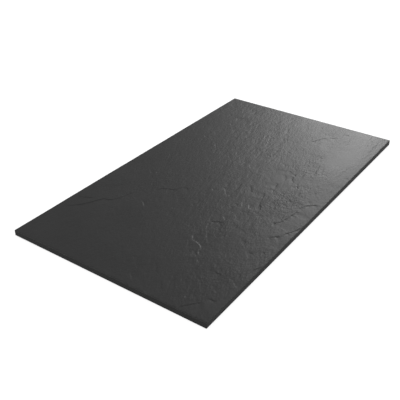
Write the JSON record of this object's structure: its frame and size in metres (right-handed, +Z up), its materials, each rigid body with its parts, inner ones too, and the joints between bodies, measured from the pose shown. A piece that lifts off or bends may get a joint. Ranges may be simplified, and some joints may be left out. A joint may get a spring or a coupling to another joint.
{
  "type": "slate slab",
  "caption": "Rectangular slab of charcoal slate with a riven, flake-scarred top, sawn sides and a flat bed to rest on.",
  "frame": {"origin": "centre of the flat bed, the sawn underside that the slab rests on", "axes": "+X along the long sides, +Y along the short sides, +Z up out of the riven top"},
  "size_m": [1.32, 0.75, 0.0208],
  "materials": {
    "slate": "riven top with a slight sheen, sawn matt sides and bed"
  },
  "bodies": {
    "root": {"slate_slab": "slate"}
  },
  "joints": []
}
